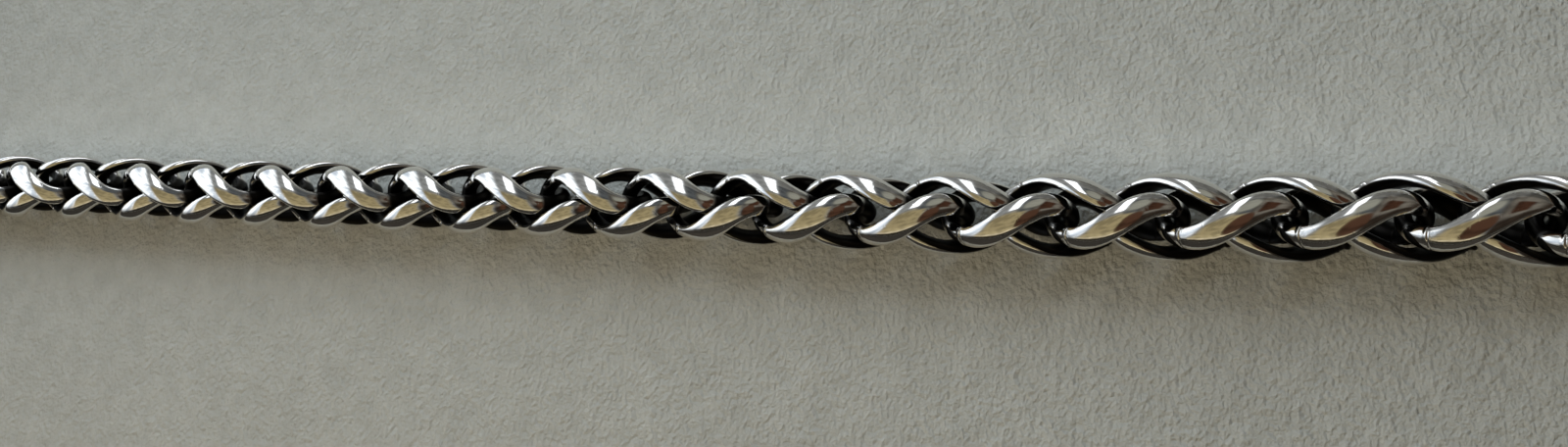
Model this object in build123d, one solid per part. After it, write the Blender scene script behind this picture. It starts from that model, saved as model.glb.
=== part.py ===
from build123d import *
import math
import os

# Sizes of the chain in mm
chain_width = 8.0
link_length = 12.85
strand_thick = 1.45
strand_wide = 2.65
bow_wide = 1.65
link_play = 0.25
necklace_length = 610.0
bend_radius = 40.0

# Shape of one link: the squareness of its oval and how far its quarter turn gathers at the middle
oval_power = 2.2
turn_gather = 0.9
link_segments = 12
wire_sides = 5

# Factors that add back what the facets take off the link's length, breadth and wire
along_factor = 1.02
rise_factor = 1.027
wire_factor = 1.02

# Clasp
barrel_length = 18.0
collar_length = 2.4
collar_step = 0.45
edge_break = 0.5
eye_wire = 1.4
eye_play = 0.25
eye_root = 0.25

# Links of one kind hold each other by their bows, one pitch apart
pitch = link_length - 2 * strand_thick - link_play
half_length = (link_length - strand_thick) / 2
half_rise = (chain_width - strand_thick) / 2
axis_height = chain_width / 2

# The eye's hole holds the bow of the end link
eye_radius = (bow_wide + strand_thick) / 2 + eye_play + eye_wire / 2
eye_centre = barrel_length / 2 + eye_radius - eye_root
bow_seat = eye_centre + eye_radius - eye_wire / 2 - eye_play - strand_thick / 2

# Distance along the loop from the middle of the clasp to the middle of the end link
clasp_reach = bow_seat + half_length

# The links alternate in kind, both end links are of the first kind and the middle one is of the second
links_wanted = (necklace_length - 2 * clasp_reach) / (pitch / 2) + 1
link_count = 4 * round((links_wanted - 3) / 4) + 3
loop_length = (link_count - 1) * pitch / 2 + 2 * clasp_reach
front_length = loop_length / 2 - math.pi * bend_radius

# Roll of the chain along its straight front, at shares of half its length from its middle
roll_table = [
    # share, degrees
    (-0.97, 182.0),
    (-0.54, 175.0),
    (-0.32, 171.0),
    (-0.21, 169.0),
    (-0.10, 166.0),
    (0.00, 161.0),
    (0.11, 151.0),
    (0.22, 138.0),
    (0.33, 129.0),
    (0.44, 122.5),
    (0.55, 117.5),
    (0.66, 113.0),
    (0.77, 110.0),
    (0.88, 109.0),
]

# Roll at the two sides of the clasp in degrees, where the end links stand upright in the level eyes
left_roll_degrees = 225.0
right_roll_degrees = 135.0

# Sideways bow of the front, towards the back, in chain widths
bow_table = [
    # share, widths
    (-1.12, 0.0),
    (-0.91, 0.031),
    (-0.59, 0.009),
    (-0.28, -0.0045),
    (-0.05, -0.007),
    (0.11, -0.0135),
    (0.22, -0.027),
    (0.33, -0.04),
    (0.44, -0.05),
    (0.55, -0.05),
    (0.66, -0.036),
    (0.77, -0.009),
    (0.88, 0.027),
    (0.98, 0.03),
    (1.12, 0.0),
]


def eased(table, place):
    """Value of a two-column table at a place, with level ends and smooth joins between its rows."""
    if place <= table[0][0]:
        return table[0][1]
    if place >= table[-1][0]:
        return table[-1][1]
    row = max(i for i in range(len(table) - 1) if table[i][0] <= place)

    def slope(i):
        if i == 0 or i == len(table) - 1:
            return 0.0
        before = (table[i][1] - table[i - 1][1]) / (table[i][0] - table[i - 1][0])
        after = (table[i + 1][1] - table[i][1]) / (table[i + 1][0] - table[i][0])
        if before * after <= 0:
            return 0.0
        return 2 * before * after / (before + after)

    step = table[row + 1][0] - table[row][0]
    t = (place - table[row][0]) / step
    low = table[row][1] * (1 - t) ** 2 * (1 + 2 * t) + slope(row) * step * t * (1 - t) ** 2
    high = table[row + 1][1] * t ** 2 * (3 - 2 * t) - slope(row + 1) * step * t ** 2 * (1 - t)
    return low + high


def loop_point(along):
    """Point and heading of the loop's middle line, at a distance from the middle of the front stretch."""
    half = front_length / 2
    arc = math.pi * bend_radius
    run = abs(along)
    if run <= half:
        x, y, heading = run, -bend_radius, 0.0
    elif run <= half + arc:
        heading = (run - half) / bend_radius
        x = half + bend_radius * math.sin(heading)
        y = -bend_radius * math.cos(heading)
    else:
        x, y, heading = half - (run - half - arc), bend_radius, math.pi
    if along < 0:
        x, heading = -x, -heading
    return x, y + chain_width * eased(bow_table, along / half), heading


def roll_at(along):
    """Roll in radians, carried on evenly from the ends of the front to the clasp."""
    half = front_length / 2
    beyond = (abs(along) - half) / (loop_length / 2 - half)
    roll = eased(roll_table, along / half)
    if beyond > 0:
        roll += (right_roll_degrees - roll if along > 0 else left_roll_degrees - roll) * beyond
    return math.radians(roll)


def link_plane(along):
    """Frame of a link: x along the chain, turned about it by the chain's roll."""
    x, y, heading = loop_point(along)
    roll = roll_at(along)
    ahead = Vector(math.cos(heading), math.sin(heading), 0)
    side = Vector(-math.sin(heading), math.cos(heading), 0)
    up = Vector(0, 0, 1)
    normal = side * -math.sin(roll) + up * math.cos(roll)
    return Plane(origin=(x, y, axis_height), x_dir=ahead, z_dir=normal)


def signed_power(value, power):
    return math.copysign(abs(value) ** power, value)


def link_line(hand, turn, angle):
    """A point of a link's middle line, and the direction square to the oval there."""
    share = signed_power(math.cos(angle), 2 / oval_power)
    strand = signed_power(math.sin(angle), 2 / oval_power)
    out = half_rise * rise_factor * strand
    swing = (1 - turn_gather) * share / 2 + turn_gather * math.sin(math.pi / 2 * share) / 2
    lean = hand * math.pi / 2 * swing + turn
    point = Vector(half_length * along_factor * share, out * math.cos(lean), out * math.sin(lean))
    square = Vector(0, -math.sin(lean), math.cos(lean))
    return point, square, abs(strand)


def link_corners(hand, turn):
    """Corners of a link's wire, one ring for each segment of the oval."""
    rings = []
    for i in range(link_segments):
        angle = 2 * math.pi * (i + 0.5) / link_segments
        before = link_line(hand, turn, angle - 0.02)[0]
        after = link_line(hand, turn, angle + 0.02)[0]
        point, square, strand = link_line(hand, turn, angle)
        ahead = (after - before).normalized()
        across = (square - ahead * square.dot(ahead)).normalized()
        inward = across.cross(ahead)
        half_wide = (bow_wide + (strand_wide - bow_wide) * strand ** 2) / 2 * wire_factor
        half_thick = strand_thick / 2 * wire_factor
        ring = []
        for j in range(wire_sides):
            around = 2 * math.pi * j / wire_sides - math.pi / 2
            ring.append(point + across * (half_wide * math.cos(around)) + inward * (half_thick * math.sin(around)))
        rings.append(ring)
    return rings


def link_solid(hand, turn):
    rings = link_corners(hand, turn)
    faces = []
    for i in range(link_segments):
        here = rings[i]
        there = rings[(i + 1) % link_segments]
        for j in range(wire_sides):
            k = (j + 1) % wire_sides
            faces.append(Face(Wire.make_polygon([here[j], there[j], there[k]], close=True)))
            faces.append(Face(Wire.make_polygon([here[j], there[k], here[k]], close=True)))
    return Solid(Shell(faces))


def clasp_solid():
    """A barrel with two collars and an eye at each end, lying along x at the origin."""
    radius = axis_height
    body = Cylinder(radius - collar_step, barrel_length, rotation=(0, 90, 0))
    for side in (-1, 1):
        collar = Pos(side * (barrel_length - collar_length) / 2, 0, 0) * Cylinder(radius, collar_length, rotation=(0, 90, 0))
        collar = chamfer(collar.edges().filter_by(GeomType.CIRCLE), edge_break)
        body += collar
    for side in (-1, 1):
        body += Pos(side * eye_centre, 0, 0) * Torus(eye_radius, eye_wire / 2)
    return body


def save(shape, name):
    shape.label = name
    export_step(shape, "parts/" + name + ".step")


os.makedirs("parts", exist_ok=True)

kinds = [link_solid(-1, 0.0), link_solid(1, math.pi / 2)]
front = []
back = []
for i in range(link_count):
    along = (i - (link_count - 1) / 2) * pitch / 2
    link = kinds[i % 2].moved(Location(link_plane(along)))
    if abs(along) <= loop_length / 4:
        front.append(link)
    else:
        back.append(link)
save(Compound(children=front), "front_links")
save(Compound(children=back), "back_links")
save(Pos(0, bend_radius, axis_height) * clasp_solid(), "clasp")
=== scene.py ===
import math

import bpy
import numpy as np
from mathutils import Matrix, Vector


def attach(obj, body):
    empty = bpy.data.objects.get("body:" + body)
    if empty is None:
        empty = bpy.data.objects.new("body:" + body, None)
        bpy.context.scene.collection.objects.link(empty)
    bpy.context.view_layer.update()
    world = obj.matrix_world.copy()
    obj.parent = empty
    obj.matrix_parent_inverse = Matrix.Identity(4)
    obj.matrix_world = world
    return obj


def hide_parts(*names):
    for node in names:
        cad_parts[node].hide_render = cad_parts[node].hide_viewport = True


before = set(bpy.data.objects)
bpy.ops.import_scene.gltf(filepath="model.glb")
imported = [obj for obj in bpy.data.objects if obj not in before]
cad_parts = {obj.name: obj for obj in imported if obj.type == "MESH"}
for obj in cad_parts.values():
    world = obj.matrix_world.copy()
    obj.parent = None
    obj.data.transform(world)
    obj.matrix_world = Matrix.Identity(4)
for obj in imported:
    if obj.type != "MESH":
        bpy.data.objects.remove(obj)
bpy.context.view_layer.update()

bl_info = {
    "name": "Wheat chain",
    "version": (1, 0, 0),
    "blender": (4, 5, 0),
    "location": "View3D > Sidebar > Wheat chain",
    "description": "A silver wheat chain necklace lying on a pale floor",
    "category": "Object",
}

# Squareness of a link's oval, and how far its quarter turn gathers at the middle
OVAL_POWER = 2.2
TURN_GATHER = 0.9

# Angle round the oval in degrees of the soldered joint of each kind of link. A second one lies opposite
JOINTS = (129.0, 231.0)

# Sides of the wire, in half turns round it, where the drops and the lumps of solder stand
DROP_SIDE = 1.15
LUMP_SIDE = 1.09

# How far beside their joint they stand, in their own breadths, and the cosine of the turn round the wire
# where they begin to rise
DROP_AWAY = 0.35
LUMP_AWAY = 1.5
DROP_EDGE = 0.35
LUMP_EDGE = 0.75

# The clasp's end discs as a share of its radius, the points on its waist as a share of the waist's half
# length, and the cut that rounds a corner as a share of the chamfer
DISC_SHARE = 0.3
WAIST_SHARE = 0.3
CUT_SHARE = 0.3

# Places along the wire and round it of each surface's grid, places round the barrel, and points of each
# of the curves that round its outline's corners
FRONT_GRID = (76, 30)
BACK_GRID = (46, 18)
EYE_GRID = (48, 20)
BARREL_SIDES = 64
CURVE_POINTS = 6

# Half the side of the floor in metres
FLOOR_HALF = 3.0

# The cards below glow and show only in the silver, as painted reflections
# The cards' grids, from the middle to the outline and along it
CARD_RINGS = 12
CARD_SPOKES = 49

# The oval cards about the chain's line: their distance from it in metres, the power that squares their
# outline, and how many degrees they climb from their middle to their right end
CARD_DISTANCE = 0.12
CARD_POWER = 0.8
CARD_LEAN = 6.0

# The climb of the front and of the top card in degrees, as its middle and its half, and the top card's
# place in metres and its breadth, both against the front card's
FRONT_CARD_CLIMB = (52.0, 34.0)
TOP_CARD_CLIMB = (117.0, 26.0)
TOP_CARD_SHIFT = -0.012
TOP_CARD_SHARE = 1.05

# The left card's climb in degrees, the climb up to which its light grows, and its foot's height in metres
LEFT_CARD_CLIMB = (4.0, 206.0)
LEFT_CARD_GROWTH = 50.0
LEFT_CARD_FOOT = 0.001

# Where the cards start to fade, as shares of the way to their outline
LEFT_CARD_FADE = 0.7
FRONT_CARD_FADE = 0.85
TOP_CARD_FADE = 0.6

# The low card: half its length, its depth and its height in metres, its distance from the chain's line in
# chain widths, and its columns
LOW_CARD_HALF = 0.6
LOW_CARD_DEPTH = 0.5
LOW_CARD_HEIGHT = 0.0003
LOW_CARD_AWAY = 1.3
LOW_CARD_COLUMNS = 13

# The shading strip: half its length as a share of the front's, and its place, foot and top in chain widths
SHADE_HALF = 0.52
SHADE_PLACE = 0.3
SHADE_FOOT = 0.06
SHADE_TOP = 0.72

# The lamps: name, place, the point that each is aimed at, and its two sides, in metres
LAMPS = (
    ("window", (-0.055, 0.149, 0.176), (0.0, -0.04, 0.0), (0.224, 0.169)),
    ("fill", (-0.03, -0.169, 0.153), (0.0, -0.04, 0.0), (0.1, 0.1)),
    ("bounce", (0.0, -0.0352, 0.0045), (0.0, -0.02, 0.0), (0.20, 0.004)),
)

# Areas of the room that the silver mirrors: colour, then start, end and softness in degrees of the climb
# from the front horizon over the top, and of the turn to the right
ROOM_AREAS = (
    ((0.330, 0.270, 0.145), 6, 92, 18, -40, 14, 14),
    ((0.440, 0.365, 0.200), 6, 32, 12, -36, 14, 14),
    ((2.40, 2.50, 2.60), 104, 168, 12, -19, -4, 5),
    ((0.085, 0.092, 0.096), 86, 146, 10, -2, 24, 12),
    ((0.150, 0.150, 0.140), 146, 250, 10, -2, 28, 12),
    ((0.030, 0.022, 0.016), -90, 146, 10, 18, 120, 12),
    ((0.060, 0.058, 0.050), 146, 250, 10, 28, 120, 12),
    ((0.160, 0.145, 0.120), 62, 150, 18, 20, 66, 18),
    ((0.052, 0.024, 0.014), 79, 127, 8, 28, 52, 7),
    ((0.030, 0.027, 0.021), -90, 11, 3, -60, 60, 20),
    ((0.700, 0.600, 0.410), 12, 18, 4, -40, 18, 12),
)

# The camera: its place in metres, its turns in degrees, and its lens and picture breadth in millimetres
CAMERA_PLACE = (0.0649938, -0.0712941, 0.1184052)
CAMERA_TURNS = (15.8938, 19.1329, 6.9042)
CAMERA_LENS = 29.25
CAMERA_SENSOR = 36.0

# Roll of the chain along its front in degrees, at shares of half the front's length from its middle
ROLL_TABLE = np.array([
    (-0.97, 182.0),
    (-0.54, 175.0),
    (-0.32, 171.0),
    (-0.21, 169.0),
    (-0.10, 166.0),
    (0.00, 161.0),
    (0.11, 151.0),
    (0.22, 138.0),
    (0.33, 129.0),
    (0.44, 122.5),
    (0.55, 117.5),
    (0.66, 113.0),
    (0.77, 110.0),
    (0.88, 109.0),
])
CLASP_ROLL_LEFT = 225.0
CLASP_ROLL_RIGHT = 135.0

# Sideways bow of the front, towards the back, in chain widths, at shares of half the front's length
BOW_TABLE = np.array([
    (-1.12, 0.0),
    (-0.91, 0.031),
    (-0.59, 0.009),
    (-0.28, -0.0045),
    (-0.05, -0.007),
    (0.11, -0.0135),
    (0.22, -0.027),
    (0.33, -0.04),
    (0.44, -0.05),
    (0.55, -0.05),
    (0.66, -0.036),
    (0.77, -0.009),
    (0.88, 0.027),
    (0.98, 0.03),
    (1.12, 0.0),
])


def length_property(name, description, default):
    """A size in metres with its name and description."""
    return bpy.props.FloatProperty(name=name, description=description, default=default, min=0.0,
                                   precision=5, unit="LENGTH", subtype="DISTANCE")


def place_property(name, description, default):
    """A place in metres, on either side of the middle, with its name and description."""
    return bpy.props.FloatProperty(name=name, description=description, default=default, precision=5,
                                   unit="LENGTH", subtype="DISTANCE")


def factor_property(name, description, default):
    """A share between nought and one with its name and description."""
    return bpy.props.FloatProperty(name=name, description=description, default=default, min=0.0, max=1.0,
                                   subtype="FACTOR")


def colour_property(name, description, default):
    """A colour with its name and description."""
    return bpy.props.FloatVectorProperty(name=name, description=description, default=default, size=3,
                                         min=0.0, max=1.0, subtype="COLOR")


def glow_property(name, description, default):
    """The light that a card gives, which can be brighter than white, with its name and description."""
    return bpy.props.FloatVectorProperty(name=name, description=description, default=default, size=3,
                                         min=0.0)


def power_property(name, description, default):
    """The power of a light in watts with its name and description."""
    return bpy.props.FloatProperty(name=name, description=description, default=default, min=0.0,
                                   unit="POWER")


class ChainSizes(bpy.types.PropertyGroup):
    """Sizes of the links and of the loop"""

    chain_width: length_property("Chain width", "Outside breadth of the chain", 0.008)
    link_length: length_property("Link length", "Outside length of one link", 0.01285)
    strand_thick: length_property("Strand thickness", "Thickness of the wire", 0.00145)
    strand_wide: length_property("Strand breadth", "Breadth of the wire at the middle of a link", 0.00265)
    bow_wide: length_property("Bow breadth", "Breadth of the wire at the ends of a link", 0.00165)
    link_play: length_property("Link play", "Free length between two links of one kind", 0.00025)
    necklace_length: length_property("Necklace length", "Length round the whole loop", 0.61)
    bend_radius: length_property("Bend radius", "Radius of the two bends of the loop", 0.04)
    seam_depth: length_property("Seam depth", "Depth of the seam round the wire at a joint", 0.00004)
    seam_wide: length_property("Seam breadth", "Breadth of that seam", 0.00012)
    bead_height: length_property("Bead height", "Height of the drop of solder beside a seam", 0.00006)
    bead_wide: length_property("Bead breadth", "Breadth of that drop", 0.0004)
    lump_height: length_property("Lump height", "Height of the lump near the second joint", 0.0003)
    lump_wide: length_property("Lump breadth", "Breadth of that lump", 0.0005)


class ClaspSizes(bpy.types.PropertyGroup):
    """Sizes of the clasp"""

    barrel_length: length_property("Barrel length", "Length of the clasp without its eyes", 0.018)
    collar_length: length_property("Collar length", "Length of the collar at each end", 0.0024)
    collar_step: length_property("Collar step", "How far a collar stands proud of the barrel", 0.00045)
    edge_break: length_property("Edge break", "Breadth of the chamfer on the collars", 0.0005)
    eye_wire: length_property("Eye wire", "Thickness of the eye's wire", 0.0014)
    eye_play: length_property("Eye play", "Room of the end link in the eye", 0.00025)
    eye_root: length_property("Eye root", "Depth of the eye in the barrel", 0.00025)


class SilverFinish(bpy.types.PropertyGroup):
    """Colours and roughness of the silver and of the oxide on it"""

    silver_colour: colour_property("Silver", "Colour of the polished silver", (0.90, 0.89, 0.87))
    # This colour also paints the shade at the links' ends that the polish mask lowers
    oxide_and_shade_colour: colour_property("Oxide", "Colour of the dark oxide in the hollows", (0.018, 0.017, 0.016))
    polish_roughness: factor_property("Polish", "Roughness of the polished silver", 0.07)
    oxide_roughness: factor_property("Oxide roughness", "Roughness of the dark oxide", 0.38)
    wave_height: length_property("Wave height", "Height of the slight waves of the polished skin", 0.00002)


class StudioLook(bpy.types.PropertyGroup):
    """Colours, sizes and powers of the floor, the cards and the lights"""

    floor_colour: colour_property("Floor", "Colour of the floor", (0.55, 0.552, 0.512))
    # The hollows' colour makes the mottle and clouds and also the painted shade in the grain's hollows
    hollow_colour: colour_property("Floor hollows", "Colour of the grain's hollows", (0.45, 0.452, 0.417))
    grain_size: length_property("Grain size", "Size of the floor's fine grain", 0.0006)
    grain_depth: length_property("Grain depth", "Depth of the floor's fine grain", 0.00055)
    room_colour: colour_property("Room", "Colour of the room where nothing else shows", (0.26, 0.268, 0.265))
    left_card_place: place_property("Left card's place", "Place of the bright card along the chain", -0.26)
    left_card_size: length_property("Left card's radius", "Radius of the bright card", 0.38)
    left_card_colour: glow_property("Left card", "Light that the bright card gives", (1.35, 1.42, 1.46))
    left_card_shade: glow_property("Left card's streaks", "Light of its duller streaks", (0.62, 0.70, 0.80))
    window_power: power_property("Window power", "Power of the light from the back", 0.365)
    window_colour: colour_property("Window", "Colour of the light from the back", (0.73, 0.86, 0.98))
    fill_power: power_property("Fill power", "Power of the light from the front", 0.102)
    fill_colour: colour_property("Fill", "Colour of the light from the front", (1.0, 0.872, 0.69))
    bounce_power: power_property("Bounce power", "Power of the light that the chain throws back", 0.0024)
    bounce_colour: colour_property("Bounce", "Colour of that light", (0.97, 1.0, 1.0))
    # The front, top and low cards glow in these colours and show only in the silver, as painted reflections
    front_card_place: place_property("Front card's place", "Place of the brown card along the chain", 0.092)
    front_card_size: length_property("Front card's breadth", "Half the breadth of the brown card", 0.036)
    front_card_colour: colour_property("Front card", "Colour of the brown card", (0.070, 0.034, 0.020))
    top_card_colour: colour_property("Top card", "Colour of the grey card above", (0.27, 0.27, 0.225))
    top_card_shade: colour_property("Top card's streaks", "Colour of its streaks", (0.20, 0.20, 0.17))
    low_card_colour: colour_property("Low card", "Colour of the dark low card", (0.045, 0.040, 0.033))
    low_card_shade: colour_property("Low card's streaks", "Colour of its streaks", (0.030, 0.028, 0.024))


def chain_numbers(sizes):
    """Pitch of the links of one kind, half length and half breadth of a link's middle line, radius and
    middle of the clasp's eyes, number of links, and lengths of the loop and of its straight front."""
    clasp = bpy.context.scene.clasp_sizes
    pitch = sizes.link_length - 2 * sizes.strand_thick - sizes.link_play
    half_length = (sizes.link_length - sizes.strand_thick) / 2
    half_rise = (sizes.chain_width - sizes.strand_thick) / 2
    eye_radius = (sizes.bow_wide + sizes.strand_thick) / 2 + clasp.eye_play + clasp.eye_wire / 2
    eye_centre = clasp.barrel_length / 2 + eye_radius - clasp.eye_root
    bow_seat = eye_centre + eye_radius - clasp.eye_wire / 2 - clasp.eye_play - sizes.strand_thick / 2
    reach = bow_seat + half_length
    wanted = (sizes.necklace_length - 2 * reach) / (pitch / 2) + 1
    count = 4 * round((wanted - 3) / 4) + 3
    loop = (count - 1) * pitch / 2 + 2 * reach
    front = loop / 2 - math.pi * sizes.bend_radius
    return {"pitch": pitch, "half_length": half_length, "half_rise": half_rise, "eye_radius": eye_radius,
            "eye_centre": eye_centre, "count": count, "loop": loop, "front": front}


def eased(table, place):
    """Values of a two-column table at places: a cubic between rows, level at the ends, whose slope at a
    row is the harmonic mean of the slopes on its two sides, or zero where they differ in sign."""
    start, value = table[:, 0], table[:, 1]
    step = np.diff(start)
    rise = np.diff(value) / step
    same = rise[:-1] * rise[1:] > 0
    slope = np.zeros(len(start))
    slope[1:-1] = np.where(same, 2 * rise[:-1] * rise[1:] / np.where(same, rise[:-1] + rise[1:], 1), 0)
    place = np.clip(place, start[0], start[-1])
    row = np.clip(np.searchsorted(start, place, side="right") - 1, 0, len(step) - 1)
    t = (place - start[row]) / step[row]
    low = value[row] * (1 - t) ** 2 * (1 + 2 * t) + slope[row] * step[row] * t * (1 - t) ** 2
    high = value[row + 1] * t ** 2 * (3 - 2 * t) - slope[row + 1] * step[row] * t ** 2 * (1 - t)
    return low + high


def chain_frames(sizes, along):
    """Origins and axes of links at distances from the middle of the front: a straight front, two half
    circles and a straight back, bowed sideways by the table, each frame rolled about the chain by the
    roll table and beyond the front evenly on to the clasp's roll."""
    numbers = chain_numbers(sizes)
    half = numbers["front"] / 2
    radius = sizes.bend_radius
    run = np.abs(along)
    turn = np.clip((run - half) / radius, 0, np.pi)
    x = np.minimum(run, half) + radius * np.sin(turn) - np.maximum(run - half - np.pi * radius, 0)
    y = -radius * np.cos(turn) + sizes.chain_width * eased(BOW_TABLE, along / half)
    heading = np.sign(along) * turn
    beyond = np.clip((run - half) / (numbers["loop"] / 2 - half), 0, 1)
    roll = eased(ROLL_TABLE, along / half)
    roll = np.radians(roll + (np.where(along > 0, CLASP_ROLL_RIGHT, CLASP_ROLL_LEFT) - roll) * beyond)
    flat = np.zeros_like(x)
    ahead = np.stack([np.cos(heading), np.sin(heading), flat], -1)
    side = np.stack([-np.sin(heading), np.cos(heading), flat], -1)
    up = np.stack([flat, flat, flat + 1], -1)
    cosine, sine = np.cos(roll)[:, None], np.sin(roll)[:, None]
    origin = np.stack([np.sign(along) * x, y, flat + sizes.chain_width / 2], -1)
    return origin, np.stack([ahead, side * cosine + up * sine, up * cosine - side * sine], 1)


def link_line(sizes, hand, lean_start, angle):
    """Middle line of a link: a squarish oval, share and rise being the cosine and sine to the power of
    two over the oval power, wrapped round the chain by a quarter turn from one bow to the other. Gives
    the points, the direction square to the oval there, and how far the place is up the strand."""
    numbers = chain_numbers(sizes)
    share = np.sign(np.cos(angle)) * np.abs(np.cos(angle)) ** (2 / OVAL_POWER)
    rise = np.sign(np.sin(angle)) * np.abs(np.sin(angle)) ** (2 / OVAL_POWER)
    swing = (1 - TURN_GATHER) * share / 2 + TURN_GATHER * np.sin(np.pi / 2 * share) / 2
    lean = hand * np.pi / 2 * swing + lean_start
    out = numbers["half_rise"] * rise
    point = np.stack([numbers["half_length"] * share, out * np.cos(lean), out * np.sin(lean)], -1)
    square = np.stack([np.zeros_like(lean), -np.sin(lean), np.cos(lean)], -1)
    return point, square, np.abs(rise)


def unit(vectors):
    """Vectors made one long."""
    return vectors / np.linalg.norm(vectors, axis=-1, keepdims=True)


def wire_angles(rounds, joint):
    """Angles round the oval, evenly apart, with closer ones added beside the two joints."""
    even = 2 * np.pi * (np.arange(rounds) + 0.5) / rounds
    close = np.radians(np.array([0.0, 0.4, 0.8, 1.4, 2.2, 3.4, 4.7, 5.9, 7.1, 8.5]))
    close = np.concatenate([-close[:0:-1], close])
    start = math.radians(joint)
    return np.sort(np.concatenate([even, start + close, (start + np.pi) % (2 * np.pi) + close]))


def link_surface(sizes, hand, lean_start, joint, rounds, sides):
    """Surface of one link: an ellipse carried square to the middle line, its breadth growing from the
    bows to the middle of the strands with the square of the rise. At the two joints a seam sinks round
    the wire and a drop of solder swells beside it, and near the second one stands a larger lump, all
    bell curves of the distance along the wire. Gives points, outward normals, the place on the wire as a
    length and a round position, and the nearness to a joint."""
    angle = wire_angles(rounds, joint)
    point, square, rise = link_line(sizes, hand, lean_start, angle)
    nudge = 0.01
    before = link_line(sizes, hand, lean_start, angle - nudge)[0]
    ahead = link_line(sizes, hand, lean_start, angle + nudge)[0] - before
    speed = np.linalg.norm(ahead, axis=1) / (2 * nudge)
    ahead = unit(ahead)
    across = unit(square - ahead * (square * ahead).sum(1)[:, None])
    inward = np.cross(across, ahead)
    half_wide = (sizes.bow_wide + (sizes.strand_wide - sizes.bow_wide) * rise ** 2) / 2
    half_thick = sizes.strand_thick / 2
    around = 2 * np.pi * np.arange(sides) / sides
    wide = (half_wide[:, None] * np.cos(around))[..., None]
    thick = (half_thick * np.sin(around))[None, :, None]
    surface = point[:, None] + across[:, None] * wide + inward[:, None] * thick
    normal = unit(across[:, None] * (np.cos(around) / half_wide[:, None])[..., None]
                  + inward[:, None] * (np.sin(around) / half_thick)[None, :, None])
    away = (np.stack([angle, angle - np.pi]) - math.radians(joint) + np.pi) % (2 * np.pi) - np.pi
    away = away[np.argmin(np.abs(away), axis=0), np.arange(len(angle))] * speed
    facing = np.cos(around - DROP_SIDE * np.pi)
    lump_place = hand * LUMP_AWAY * sizes.lump_wide
    second = ((angle - math.radians(joint)) % (2 * np.pi) - np.pi) * speed + lump_place
    lump = sizes.lump_height * np.exp(-(second / (sizes.lump_wide / 2)) ** 2)
    seam = sizes.seam_depth * np.exp(-(away / (sizes.seam_wide / 2)) ** 2)
    drop_place = DROP_AWAY * sizes.bead_wide
    bead = sizes.bead_height * np.exp(-((away - drop_place) / (sizes.bead_wide / 2)) ** 2)
    swell = bead[:, None] * smooth_step(DROP_EDGE, 1.0, facing)[None] - seam[:, None]
    swell = swell + lump[:, None] * smooth_step(LUMP_EDGE, 1.0, np.cos(around - LUMP_SIDE * np.pi))[None]
    surface = surface + normal * swell[..., None]
    length = np.concatenate([[0.0], np.cumsum(np.diff(angle) * (speed[1:] + speed[:-1]) / 2)])
    grid = surface.shape[:2]
    circle = np.stack([np.cos(around), np.sin(around)], -1) * half_thick
    place = np.concatenate([np.broadcast_to(length[:, None, None], grid + (1,)),
                            np.broadcast_to(circle, grid + (2,))], -1)
    near = np.broadcast_to(np.exp(-(away / sizes.bead_wide) ** 2)[:, None], grid)
    return surface, normal, place, near


def smooth_step(low, high, value):
    """Nought at low and beyond it, one at high and beyond it, and a smooth cubic between them."""
    t = np.clip((value - low) / (high - low), 0, 1)
    return t * t * (3 - 2 * t)


def polish_and_shade(sizes, surface, normal, hand, sides):
    """How far the polish reaches: one where the surface faces away from the chain's middle line and lies
    near the chain's outside, nought on the faces turned inwards, where the oxide lies. At each link's right
    end, and on the links of the second kind over most of that end, some of the left end and one edge of the
    first strand, the mask is lowered further, which is painted shade where the links lie under their
    neighbours."""
    distance = np.hypot(surface[..., 1], surface[..., 2])
    outward = normal[..., 1] * surface[..., 1] + normal[..., 2] * surface[..., 2]
    facing = outward / np.maximum(distance, 1e-6)
    along = surface[..., 0] / (sizes.link_length / 2)
    # Painted shade: the terms below darken the right end, and on the second kind also the left end and one
    # edge of the first strand
    if hand > 0:
        first_strand = np.arange(len(along)) < len(along) / 2
        edge = -np.cos(2 * np.pi * np.arange(sides) / sides) * first_strand[:, None]
        facing = facing - smooth_step(0.48, 0.98, along) - 0.7 * smooth_step(0.55, 0.85, edge)
        facing = facing - 0.6 * smooth_step(0.70, 0.95, -along)
    else:
        facing = facing - 0.4 * smooth_step(0.5, 0.9, along)
    outside = smooth_step(0.30, 0.66, distance / (sizes.chain_width / 2))
    return smooth_step(-0.15, 0.40, facing) * outside


def ring_faces(count, rounds, sides):
    """Corners of the four-sided faces of closed tubes, each a grid that meets itself both ways."""
    i = np.arange(rounds)[:, None]
    j = np.arange(sides)[None, :]
    here = i * sides + j
    there = (i + 1) % rounds * sides + j
    there_next = (i + 1) % rounds * sides + (j + 1) % sides
    here_next = i * sides + (j + 1) % sides
    quads = np.stack([here, there, there_next, here_next], -1).reshape(-1, 4)
    return (quads[None] + (np.arange(count) * rounds * sides)[:, None, None]).reshape(-1, 4)


def new_object(name, data):
    """An object of the scene for a mesh, a lamp or a camera."""
    made = bpy.data.objects.new(name, data)
    bpy.context.scene.collection.objects.link(made)
    return made


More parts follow.
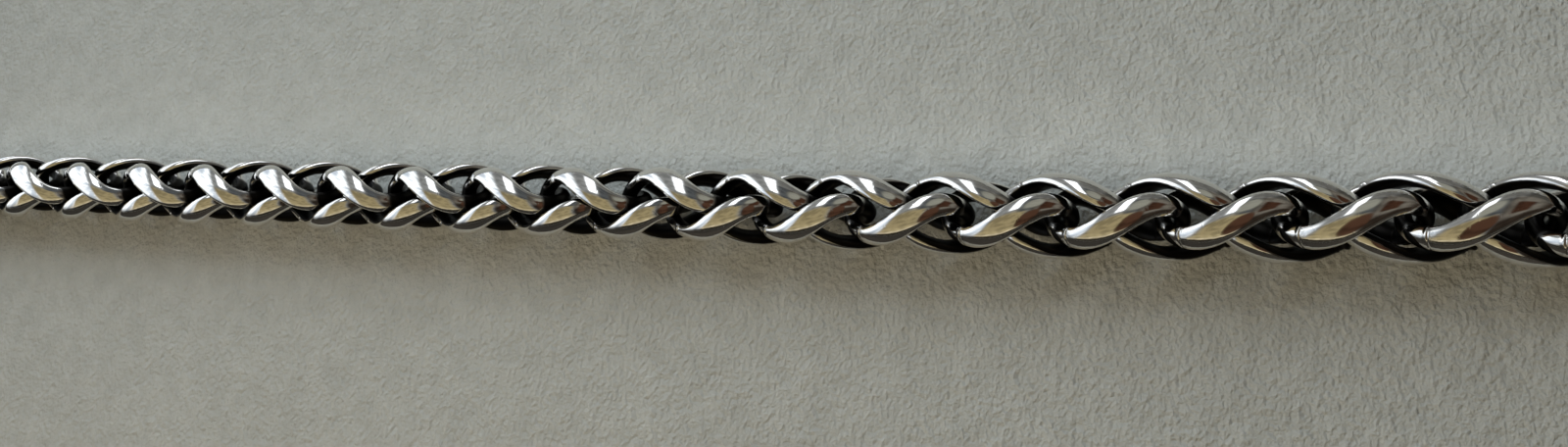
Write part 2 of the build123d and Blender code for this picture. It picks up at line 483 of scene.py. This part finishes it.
def surface_object(name, points, quads, replaced, marks):
    """A smooth mesh object of points and four-sided faces, riding on the root and standing for a CAD
    node, with its marks as attributes of one or three numbers a point."""
    mesh = bpy.data.meshes.new(name)
    mesh.vertices.add(len(points))
    mesh.vertices.foreach_set("co", points.astype(np.float32).ravel())
    mesh.loops.add(quads.size)
    mesh.loops.foreach_set("vertex_index", quads.astype(np.int32).ravel())
    mesh.polygons.add(len(quads))
    mesh.polygons.foreach_set("loop_start", np.arange(0, quads.size, 4, dtype=np.int32))
    mesh.polygons.foreach_set("use_smooth", np.ones(len(quads), dtype=bool))
    mesh.update(calc_edges=True)
    if mesh.validate():
        raise RuntimeError("the faces of " + name + " had to be mended")
    for mark, values in marks.items():
        single = values.ndim == 1
        attribute = mesh.attributes.new(mark, "FLOAT" if single else "FLOAT_VECTOR", "POINT")
        attribute.data.foreach_set("value" if single else "vector", values.astype(np.float32).ravel())
    made = new_object(name, mesh)
    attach(made, "root")
    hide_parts(replaced)
    mesh.materials.append(silver_material())


def link_run(name, node, chosen, rounds, sides):
    """One piece of the links of the chosen numbers. Each kind's surface is carried to its links' frames."""
    sizes = bpy.context.scene.chain_sizes
    numbers = chain_numbers(sizes)
    origin, axes = chain_frames(sizes, (chosen - (numbers["count"] - 1) / 2) * numbers["pitch"] / 2)
    rounds_all = len(wire_angles(rounds, JOINTS[0]))
    grid = (len(chosen), rounds_all * sides)
    points = np.empty(grid + (3,))
    places = np.empty(grid + (3,))
    reach = np.empty(grid)
    joint = np.empty(grid)
    for kind, (hand, lean_start) in enumerate(((-1, 0.0), (1, math.pi / 2))):
        surface, normal, place, near = link_surface(sizes, hand, lean_start, JOINTS[kind], rounds, sides)
        mine = chosen % 2 == kind
        points[mine] = surface.reshape(-1, 3) @ axes[mine] + origin[mine][:, None]
        places[mine] = place.reshape(-1, 3)
        reach[mine] = polish_and_shade(sizes, surface, normal, hand, sides).ravel()
        joint[mine] = near.ravel()
    places[..., 0] += chosen[:, None] * 2 * sizes.link_length
    faces = ring_faces(len(chosen), rounds_all, sides)
    # The polish mark also carries painted shade at the links' ends and on one strand edge
    marks = {"polish": reach.ravel(), "joint": joint.ravel(), "place": places.reshape(-1, 3)}
    surface_object(name, points.reshape(-1, 3), faces, node, marks)


def chain_halves():
    """Numbers of the links of the front and of the back."""
    sizes = bpy.context.scene.chain_sizes
    numbers = chain_numbers(sizes)
    number = np.arange(numbers["count"])
    along = (number - (numbers["count"] - 1) / 2) * numbers["pitch"] / 2
    front = np.abs(along) <= numbers["loop"] / 4
    return number[front], number[~front]


def soft_outline(corners, cut):
    """An open outline whose inner corners are rounded: each is replaced by a curve that starts and ends
    a cut away from it, the points of a parabola drawn to the corner."""
    before = unit(corners[:-2] - corners[1:-1])
    after = unit(corners[2:] - corners[1:-1])
    t = np.linspace(0, 1, CURVE_POINTS)[None, :, None]
    corner = corners[1:-1, None]
    curve = corner + cut * (before[:, None] * (1 - t) ** 2 + after[:, None] * t ** 2)
    return np.concatenate([corners[:1], curve.reshape(-1, 2), corners[-1:]])


def barrel_surface(sizes, clasp, sides):
    """The clasp's barrel: its outline, of axial places and radii, is turned about x, and an even disc
    closes it at each end."""
    full = sizes.chain_width / 2
    waist = full - clasp.collar_step
    end = clasp.barrel_length / 2
    root = end - clasp.collar_length
    edge = clasp.edge_break
    half = np.array([(end, DISC_SHARE * full), (end, full - edge), (end - edge, full), (root + edge, full),
                     (root + edge - clasp.collar_step, waist), (WAIST_SHARE * root, waist)])
    corners = np.concatenate([half * (-1, 1), half[::-1]])
    outline = soft_outline(corners, CUT_SHARE * edge)
    turn = 2 * np.pi * np.arange(sides) / sides
    axial = np.broadcast_to(outline[:, :1], (len(outline), sides))
    points = np.stack([axial, outline[:, 1:] * np.cos(turn), outline[:, 1:] * np.sin(turn)], -1)
    i = np.arange(len(outline) - 1)[:, None]
    j = np.arange(sides)[None, :]
    here = i * sides + j
    beside = i * sides + (j + 1) % sides
    skin = np.stack([here, beside, beside + sides, here + sides], -1).reshape(-1, 4)
    j = np.arange(sides // 2 - 1)
    disc = np.stack([j, sides - 1 - j, sides - 2 - j, j + 1], -1)
    last = (len(outline) - 1) * sides
    faces = np.concatenate([skin, disc, last + disc[:, ::-1]])
    return points.reshape(-1, 3), faces


def eye_surface(sizes, clasp, side, rounds, sides):
    """One eye of the clasp: a circle of the eye's wire carried round a circle that lies level."""
    numbers = chain_numbers(sizes)
    turn = (2 * np.pi * np.arange(rounds) / rounds)[:, None]
    around = (2 * np.pi * np.arange(sides) / sides)[None, :]
    reach = numbers["eye_radius"] + clasp.eye_wire / 2 * np.cos(around)
    points = np.stack([side * numbers["eye_centre"] + reach * np.cos(turn), reach * np.sin(turn),
                       clasp.eye_wire / 2 * np.sin(around) + 0 * turn], -1)
    return points.reshape(-1, 3), ring_faces(1, rounds, sides)


def nodes_of(tree, *names):
    """New nodes of a node tree by their types."""
    return [tree.nodes.new(name) for name in names]


def math_node(tree, operation, first, second=None, third=None):
    """A math node whose inputs are sockets or numbers, and its output."""
    node = tree.nodes.new("ShaderNodeMath")
    node.operation = operation
    for socket, value in zip(node.inputs, (first, second, third)):
        if value is None:
            continue
        if isinstance(value, bpy.types.NodeSocket):
            tree.links.new(value, socket)
        else:
            socket.default_value = value
    return node.outputs[0]


def step_node(tree, value, low, high):
    """A smooth step from nought at low to one at high, and its output."""
    node = tree.nodes.new("ShaderNodeMapRange")
    node.interpolation_type = "SMOOTHSTEP"
    tree.links.new(value, node.inputs["Value"])
    node.inputs["From Min"].default_value = min(low, high)
    node.inputs["From Max"].default_value = max(low, high)
    node.inputs["To Min"].default_value = 0.0 if low < high else 1.0
    node.inputs["To Max"].default_value = 1.0 if low < high else 0.0
    return node.outputs["Result"]


def mix_node(tree, factor, first, second):
    """A mix of two colours by a factor, and its output."""
    node = tree.nodes.new("ShaderNodeMix")
    node.data_type = "RGBA"
    sockets = (node.inputs["Factor"], node.inputs["A"], node.inputs["B"])
    for socket, value in zip(sockets, (factor, first, second)):
        if isinstance(value, bpy.types.NodeSocket):
            tree.links.new(value, socket)
        else:
            socket.default_value = (*value, 1) if isinstance(value, tuple) else value
    return node.outputs["Result"]


def noise_node(tree, place, scale, detail, stretch=None):
    """The value of a noise at a place. The scale counts its waves to one unit of the place, the detail
    its finer layers, and the stretch squeezes the place along its axes."""
    node = tree.nodes.new("ShaderNodeTexNoise")
    node.inputs["Scale"].default_value = scale
    node.inputs["Detail"].default_value = detail
    if stretch:
        squeeze = tree.nodes.new("ShaderNodeMapping")
        squeeze.inputs["Scale"].default_value = stretch
        tree.links.new(place, squeeze.inputs["Vector"])
        place = squeeze.outputs["Vector"]
    tree.links.new(place, node.inputs["Vector"])
    return node.outputs["Fac"]


def new_group(name, inputs, outputs):
    """A shader node group with named inputs and outputs, its own input and output nodes."""
    group = bpy.data.node_groups.new(name, "ShaderNodeTree")
    for label, kind in inputs:
        group.interface.new_socket(name=label, in_out="INPUT", socket_type=kind)
    for label, kind in outputs:
        group.interface.new_socket(name=label, in_out="OUTPUT", socket_type=kind)
    start, end = nodes_of(group, "NodeGroupInput", "NodeGroupOutput")
    return group, start.outputs, end.inputs


def worn_silver_group():
    """Colour, roughness and height of worn silver from how far the polish reaches and how near a joint
    is: oxide fills the hollows with an uneven edge and lies in patches at the joints, and slight waves,
    hairlines and small dents run over the polish. The polish mask also lowers the links' ends, where the
    oxide colour is painted shade."""
    group, given, result = new_group(
        "Worn silver",
        [("Place", "NodeSocketVector"), ("Polish", "NodeSocketFloat"), ("Joint", "NodeSocketFloat"),
         ("Silver", "NodeSocketColor"), ("Oxide", "NodeSocketColor"),
         ("Bright roughness", "NodeSocketFloat"), ("Oxide roughness", "NodeSocketFloat")],
        [("Colour", "NodeSocketColor"), ("Roughness", "NodeSocketFloat"), ("Height", "NodeSocketFloat")])
    cloud = noise_node(group, given["Place"], 1400.0, 4.0)
    edge = math_node(group, "MULTIPLY_ADD", cloud, 0.5, -0.25)
    uneven = math_node(group, "ADD", given["Polish"], edge)
    bright = step_node(group, uneven, 0.15, 0.75)
    patch = noise_node(group, given["Place"], 3200.0, 2.0)
    sooty = math_node(group, "MULTIPLY", given["Joint"], step_node(group, patch, 0.42, 0.62))
    kept = math_node(group, "MULTIPLY_ADD", sooty, -0.6, 1.0)
    bright = math_node(group, "MULTIPLY", bright, kept)
    group.links.new(mix_node(group, bright, given["Oxide"], given["Silver"]), result["Colour"])
    haze = step_node(group, noise_node(group, given["Place"], 500.0, 3.0), 0.45, 0.75)
    veil = math_node(group, "MULTIPLY_ADD", haze, 0.05, given["Bright roughness"])
    rough = group.nodes.new("ShaderNodeMix")
    group.links.new(bright, rough.inputs["Factor"])
    group.links.new(given["Oxide roughness"], rough.inputs["A"])
    group.links.new(veil, rough.inputs["B"])
    group.links.new(rough.outputs["Result"], result["Roughness"])
    wave = noise_node(group, given["Place"], 420.0, 1.0)
    hairline = noise_node(group, given["Place"], 7000.0, 2.0, (0.04, 1.0, 1.0))
    dent = step_node(group, noise_node(group, given["Place"], 2600.0, 1.0), 0.66, 0.78)
    height = math_node(group, "MULTIPLY_ADD", hairline, 0.10, wave)
    height = math_node(group, "MULTIPLY_ADD", dent, -0.12, height)
    group.links.new(height, result["Height"])
    return group


def silver_material():
    """Worn silver that reads the polish, joint and place attributes of a piece. The polish one also carries
    painted shade at the links' ends.
    """
    name = "worn_silver"
    if name in bpy.data.materials:
        return bpy.data.materials[name]
    finish = bpy.context.scene.silver_finish
    material = bpy.data.materials.new(name)
    material.use_nodes = True
    tree = material.node_tree
    shader = tree.nodes["Principled BSDF"]
    worn = tree.nodes.new("ShaderNodeGroup")
    worn.node_tree = worn_silver_group()
    marks = (("place", "Place", "Vector"), ("polish", "Polish", "Fac"), ("joint", "Joint", "Fac"))
    for mark, socket, output in marks:
        node = tree.nodes.new("ShaderNodeAttribute")
        node.attribute_name = mark
        tree.links.new(node.outputs[output], worn.inputs[socket])
    worn.inputs["Silver"].default_value = (*finish.silver_colour, 1)
    worn.inputs["Oxide"].default_value = (*finish.oxide_and_shade_colour, 1)
    worn.inputs["Bright roughness"].default_value = finish.polish_roughness
    worn.inputs["Oxide roughness"].default_value = finish.oxide_roughness
    bump = tree.nodes.new("ShaderNodeBump")
    bump.inputs["Strength"].default_value = 1.0
    bump.inputs["Distance"].default_value = finish.wave_height
    tree.links.new(worn.outputs["Height"], bump.inputs["Height"])
    tree.links.new(bump.outputs["Normal"], shader.inputs["Normal"])
    tree.links.new(worn.outputs["Colour"], shader.inputs["Base Color"])
    tree.links.new(worn.outputs["Roughness"], shader.inputs["Roughness"])
    shader.inputs["Metallic"].default_value = 1.0
    return material


class WHEATCHAIN_OT_front_links(bpy.types.Operator):
    """Make the links of the front in three pieces"""

    bl_idname = "wheat_chain.front_links"
    bl_label = "Make the front links"

    def execute(self, context):
        left, middle, right = np.array_split(chain_halves()[0], 3)
        link_run("front_links_left", "front_links", left, *FRONT_GRID)
        link_run("front_links_middle", "front_links", middle, *FRONT_GRID)
        link_run("front_links_right", "front_links", right, *FRONT_GRID)
        return {"FINISHED"}


class WHEATCHAIN_OT_back_links(bpy.types.Operator):
    """Make the links of the back"""

    bl_idname = "wheat_chain.back_links"
    bl_label = "Make the back links"

    def execute(self, context):
        link_run("back_links_smooth", "back_links", chain_halves()[1], *BACK_GRID)
        return {"FINISHED"}


class WHEATCHAIN_OT_clasp(bpy.types.Operator):
    """Make the clasp with its two eyes"""

    bl_idname = "wheat_chain.clasp"
    bl_label = "Make the clasp"

    def execute(self, context):
        sizes = context.scene.chain_sizes
        clasp = context.scene.clasp_sizes
        parts = [barrel_surface(sizes, clasp, BARREL_SIDES)]
        parts += [eye_surface(sizes, clasp, side, *EYE_GRID) for side in (-1, 1)]
        starts = np.cumsum([0] + [len(part[0]) for part in parts])
        points = np.concatenate([part[0] for part in parts])
        faces = np.concatenate([part[1] + start for part, start in zip(parts, starts)])
        marks = {"polish": np.ones(len(points)), "joint": np.zeros(len(points)), "place": points.copy()}
        moved = points + (0.0, sizes.bend_radius, sizes.chain_width / 2)
        surface_object("clasp_smooth", moved, faces, "clasp", marks)
        return {"FINISHED"}


class WHEATCHAIN_OT_studio(bpy.types.Operator):
    """Make the floor, the cards, the lights and the camera"""

    bl_idname = "wheat_chain.studio"
    bl_label = "Make the studio"

    def execute(self, context):
        make_floor()
        make_cards()
        make_shade()
        make_lights()
        make_camera()
        return {"FINISHED"}


def floor_grain_group():
    """Colour and height of a pale leathery floor. Its height is the sum of a broad and a fine noise,
    both drawn out along y. Its colour goes from the ground's to the hollows' in a mottle of a few grains'
    breadth and in broad faint clouds, and where that sum is low, which is painted shade in the grain's
    hollows."""
    group, given, result = new_group(
        "Floor grain",
        [("Place", "NodeSocketVector"), ("Ground", "NodeSocketColor"), ("Hollow", "NodeSocketColor"),
         ("Scale", "NodeSocketFloat")],
        [("Colour", "NodeSocketColor"), ("Height", "NodeSocketFloat")])
    size = group.nodes.new("ShaderNodeVectorMath")
    size.operation = "SCALE"
    group.links.new(given["Place"], size.inputs[0])
    group.links.new(given["Scale"], size.inputs["Scale"])
    place = size.outputs[0]
    broad = math_node(group, "MULTIPLY", noise_node(group, place, 0.34, 3.0, (1.0, 0.75, 1.0)), 0.7)
    tooth = noise_node(group, place, 1.1, 5.0, (1.0, 0.8, 1.0))
    height = math_node(group, "MULTIPLY_ADD", tooth, 0.9, broad)
    group.links.new(height, result["Height"])
    cloud = step_node(group, noise_node(group, place, 0.05, 3.0), 0.3, 0.7)
    mottle = step_node(group, noise_node(group, place, 0.22, 4.0, (1.0, 0.8, 1.0)), 0.36, 0.66)
    # Painted shade: the floor is darker where the grain's height is low
    mottle_and_shade = math_node(group, "MULTIPLY", step_node(group, height, 1.25, 0.60), 0.45)
    mottle_and_shade = math_node(group, "MULTIPLY_ADD", cloud, 0.2, mottle_and_shade)
    mottle_and_shade = math_node(group, "MULTIPLY_ADD", mottle, 0.35, mottle_and_shade)
    group.links.new(mix_node(group, mottle_and_shade, given["Ground"], given["Hollow"]), result["Colour"])
    return group


def make_floor():
    """A square floor at the height nought."""
    look = bpy.context.scene.studio_look
    mesh = bpy.data.meshes.new("floor")
    corners = [(FLOOR_HALF * x, FLOOR_HALF * y, 0) for x, y in ((-1, -1), (1, -1), (1, 1), (-1, 1))]
    mesh.from_pydata(corners, [], [(0, 1, 2, 3)])
    floor = new_object("floor", mesh)
    material = bpy.data.materials.new("pale_floor")
    material.use_nodes = True
    tree = material.node_tree
    shader = tree.nodes["Principled BSDF"]
    shader.inputs["Roughness"].default_value = 0.55
    shader.inputs["Specular IOR Level"].default_value = 0.0
    place, grain, bump = nodes_of(tree, "ShaderNodeTexCoord", "ShaderNodeGroup", "ShaderNodeBump")
    grain.node_tree = floor_grain_group()
    grain.inputs["Ground"].default_value = (*look.floor_colour, 1)
    grain.inputs["Hollow"].default_value = (*look.hollow_colour, 1)
    grain.inputs["Scale"].default_value = 1 / look.grain_size
    tree.links.new(place.outputs["Object"], grain.inputs["Place"])
    tree.links.new(grain.outputs["Colour"], shader.inputs["Base Color"])
    tree.links.new(grain.outputs["Height"], bump.inputs["Height"])
    bump.inputs["Strength"].default_value = 1.0
    bump.inputs["Distance"].default_value = look.grain_depth
    tree.links.new(bump.outputs["Normal"], shader.inputs["Normal"])
    mesh.materials.append(material)


def reflector(name, points, cover, bright, shade):
    """A card made of a grid of points that glows in streaks of two colours and covers what is behind it
    by a share at each point. It shows in the silver alone."""
    rows, columns = points.shape[:2]
    here = (np.arange(rows - 1)[:, None] * columns + np.arange(columns - 1)).ravel()
    mesh = bpy.data.meshes.new(name)
    quads = np.stack([here, here + 1, here + columns + 1, here + columns], -1)
    mesh.from_pydata(points.reshape(-1, 3).tolist(), [], quads.tolist())
    mark = mesh.attributes.new("cover", "FLOAT", "POINT")
    mark.data.foreach_set("value", cover.astype(np.float32).ravel())
    card = new_object(name, mesh)
    material = bpy.data.materials.new(name)
    material.use_nodes = True
    tree = material.node_tree
    tree.nodes.remove(tree.nodes["Principled BSDF"])
    glow, clear = nodes_of(tree, "ShaderNodeEmission", "ShaderNodeBsdfTransparent")
    fade, place, share = nodes_of(tree, "ShaderNodeMixShader", "ShaderNodeTexCoord", "ShaderNodeAttribute")
    share.attribute_name = "cover"
    streak = noise_node(tree, place.outputs["Object"], 14.0, 2.0, (1.0, 1.0, 0.25))
    tree.links.new(mix_node(tree, step_node(tree, streak, 0.40, 0.60), shade, bright), glow.inputs["Color"])
    tree.links.new(share.outputs["Fac"], fade.inputs["Fac"])
    tree.links.new(clear.outputs["BSDF"], fade.inputs[1])
    tree.links.new(glow.outputs["Emission"], fade.inputs[2])
    tree.links.new(fade.outputs["Shader"], tree.nodes["Material Output"].inputs["Surface"])
    mesh.materials.append(material)
    card.visible_camera = False
    card.visible_shadow = False
    card.visible_diffuse = False


def make_shade():
    """An upright strip inside the chain's front that only casts a shadow, for the light that the links'
    insides keep from the floor below them."""
    sizes = bpy.context.scene.chain_sizes
    half = SHADE_HALF * chain_numbers(sizes)["front"]
    place = -sizes.bend_radius + SHADE_PLACE * sizes.chain_width
    low, high = SHADE_FOOT * sizes.chain_width, SHADE_TOP * sizes.chain_width
    mesh = bpy.data.meshes.new("shade")
    corners = [(-half, place, low), (half, place, low), (half, place, high), (-half, place, high)]
    mesh.from_pydata(corners, [], [(0, 1, 2, 3)])
    strip = new_object("shade", mesh)
    strip.visible_camera = False
    strip.visible_glossy = False
    strip.visible_diffuse = False


def oval_card(line, place, half_breadth, middle, half_climb):
    """Points of a patch of a cylinder about the chain's line, and their shares of the way from its
    middle to its outline. The outline is a squarish oval: across and up it follows the cosine and sine
    of the turn, each to a power and with its sign kept, and it climbs a little towards the right."""
    rings, spokes = np.linspace(0, 1, CARD_RINGS), np.linspace(0, 2 * np.pi, CARD_SPOKES)
    share, turn = np.meshgrid(rings, spokes, indexing="ij")
    across = share * np.sign(np.cos(turn)) * np.abs(np.cos(turn)) ** CARD_POWER
    upward = share * np.sign(np.sin(turn)) * np.abs(np.sin(turn)) ** CARD_POWER
    climb = np.radians(middle + half_climb * upward + CARD_LEAN * across)
    points = np.stack([place + half_breadth * across, line - CARD_DISTANCE * np.cos(climb),
                       CARD_DISTANCE * np.sin(climb)], -1)
    return points, share


def make_cards():
    """Four cards near the chain that glow and show only in the silver, as painted reflections. The bright
    one on the left is a half disc across the chain's line, a grid of shares of its radius and degrees of
    climb. The brown one in front on the right and the grey one above it are oval patches. The dark one lies
    low along the front."""
    look = bpy.context.scene.studio_look
    sizes = bpy.context.scene.chain_sizes
    line = -sizes.bend_radius
    rings = np.linspace(0, 1, CARD_RINGS)
    climbs = np.radians(np.linspace(*LEFT_CARD_CLIMB, CARD_SPOKES - 1))
    share, climb = np.meshgrid(rings, climbs, indexing="ij")
    reach = look.left_card_size * share
    left = np.stack([np.full_like(reach, look.left_card_place), line - reach * np.cos(climb),
                     np.maximum(reach * np.sin(climb), LEFT_CARD_FOOT)], -1)
    growth = smooth_step(0.0, LEFT_CARD_GROWTH, np.degrees(climb))
    cover = smooth_step(1.0, LEFT_CARD_FADE, share) * growth
    reflector("left_card", left, cover, tuple(look.left_card_colour), tuple(look.left_card_shade))
    place, size = look.front_card_place, look.front_card_size
    brown = tuple(look.front_card_colour)
    front, share = oval_card(line, place, size, *FRONT_CARD_CLIMB)
    cover = smooth_step(1.0, FRONT_CARD_FADE, share)
    reflector("front_card", front, cover, brown, tuple(0.5 * part for part in brown))
    top, share = oval_card(line, place + TOP_CARD_SHIFT, TOP_CARD_SHARE * size, *TOP_CARD_CLIMB)
    cover = smooth_step(1.0, TOP_CARD_FADE, share)
    reflector("top_card", top, cover, tuple(look.top_card_colour), tuple(look.top_card_shade))
    columns = np.linspace(-LOW_CARD_HALF, LOW_CARD_HALF, LOW_CARD_COLUMNS)
    share, along = np.meshgrid(rings, columns, indexing="ij")
    edge = line - LOW_CARD_AWAY * sizes.chain_width
    low = np.stack([along, edge - LOW_CARD_DEPTH * share, np.full_like(along, LOW_CARD_HEIGHT)], -1)
    cover = np.ones_like(share)
    reflector("low_card", low, cover, tuple(look.low_card_colour), tuple(look.low_card_shade))


def soft_lamp(name, place, aim, size, power, colour):
    """An oblong light of a size at a place, aimed at a point, which doesn't show in the silver."""
    lamp = bpy.data.lights.new(name, "AREA")
    lamp.shape = "RECTANGLE"
    lamp.size, lamp.size_y = size
    lamp.energy = power
    lamp.color = colour
    made = new_object(name, lamp)
    made.location = place
    made.rotation_euler = (Vector(aim) - made.location).to_track_quat("-Z", "Y").to_euler()
    made.visible_glossy = False
    made.visible_camera = False


def make_lights():
    """Soft lights that the silver doesn't show: a cool one from the back, a warm one from the front and
    a narrow one for the light that the chain throws behind it. The room goes with them."""
    look = bpy.context.scene.studio_look
    for name, place, aim, size in LAMPS:
        soft_lamp(name, place, aim, size, getattr(look, name + "_power"), getattr(look, name + "_colour"))
    make_room(look)


def make_room(look):
    """The world that the silver mirrors: soft-edged areas of colour, each a product of steps of the
    climb over the top and of the turn to the right, laid over one another on the room's colour under
    faint dark clouds."""
    world = bpy.data.worlds.new("room")
    bpy.context.scene.world = world
    world.use_nodes = True
    tree = world.node_tree
    place, split = nodes_of(tree, "ShaderNodeTexCoord", "ShaderNodeSeparateXYZ")
    tree.links.new(place.outputs["Generated"], split.inputs[0])
    degree = 180 / math.pi
    forward = math_node(tree, "MULTIPLY", split.outputs["Y"], -1.0)
    climb = math_node(tree, "ARCTAN2", split.outputs["Z"], forward)
    climb = math_node(tree, "MULTIPLY", climb, degree)
    aside = math_node(tree, "MULTIPLY", math_node(tree, "ARCSINE", split.outputs["X"]), degree)
    colour = tuple(look.room_colour)
    for paint, low, high, soft, left, right, blur in ROOM_AREAS:
        mask = math_node(tree, "MULTIPLY", step_node(tree, climb, low - soft / 2, low + soft / 2),
                         step_node(tree, climb, high + soft / 2, high - soft / 2))
        mask = math_node(tree, "MULTIPLY", mask, step_node(tree, aside, left - blur / 2, left + blur / 2))
        mask = math_node(tree, "MULTIPLY", mask, step_node(tree, aside, right + blur / 2, right - blur / 2))
        colour = mix_node(tree, mask, colour, paint)
    cloud = step_node(tree, noise_node(tree, place.outputs["Generated"], 5.0, 3.0), 0.62, 0.38)
    colour = mix_node(tree, math_node(tree, "MULTIPLY", cloud, 0.35), colour, (0.0, 0.0, 0.0))
    background = tree.nodes["Background"]
    tree.links.new(colour, background.inputs["Color"])
    background.inputs["Strength"].default_value = 1.0


def make_camera():
    """The camera above and to the right of the front, looking down to the left."""
    lens = bpy.data.cameras.new("camera")
    lens.lens = CAMERA_LENS
    lens.sensor_width = CAMERA_SENSOR
    lens.sensor_fit = "HORIZONTAL"
    lens.clip_start = 0.005
    made = new_object("camera", lens)
    made.location = CAMERA_PLACE
    made.rotation_euler = [math.radians(angle) for angle in CAMERA_TURNS]
    bpy.context.scene.camera = made
    bpy.context.scene.view_settings.view_transform = "Standard"


class WHEATCHAIN_PT_sidebar(bpy.types.Panel):
    """Sizes, finishes and makers of the wheat chain"""

    bl_label = "Wheat chain"
    bl_idname = "WHEATCHAIN_PT_sidebar"
    bl_space_type = "VIEW_3D"
    bl_region_type = "UI"
    bl_category = "Wheat chain"

    def draw(self, context):
        for group in GROUPS:
            box = self.layout.box()
            owner = getattr(context.scene, group)
            for name in owner.__annotations__:
                box.prop(owner, name)
        for operator in OPERATORS:
            self.layout.operator(operator.bl_idname)


GROUPS = {
    "chain_sizes": ChainSizes,
    "clasp_sizes": ClaspSizes,
    "silver_finish": SilverFinish,
    "studio_look": StudioLook,
}
OPERATORS = (WHEATCHAIN_OT_front_links, WHEATCHAIN_OT_back_links, WHEATCHAIN_OT_clasp, WHEATCHAIN_OT_studio)


def register():
    """Register the property groups, the operators and the panel."""
    for name, group in GROUPS.items():
        bpy.utils.register_class(group)
        setattr(bpy.types.Scene, name, bpy.props.PointerProperty(type=group))
    for operator in OPERATORS:
        bpy.utils.register_class(operator)
    bpy.utils.register_class(WHEATCHAIN_PT_sidebar)


def unregister():
    """Take back what register did, in the opposite order."""
    bpy.utils.unregister_class(WHEATCHAIN_PT_sidebar)
    for operator in reversed(OPERATORS):
        bpy.utils.unregister_class(operator)
    for name, group in reversed(GROUPS.items()):
        delattr(bpy.types.Scene, name)
        bpy.utils.unregister_class(group)


def main():
    """Make every piece and the stage."""
    register()
    bpy.ops.wheat_chain.front_links()
    bpy.ops.wheat_chain.back_links()
    bpy.ops.wheat_chain.clasp()
    bpy.ops.wheat_chain.studio()


if __name__ == "__main__":
    main()
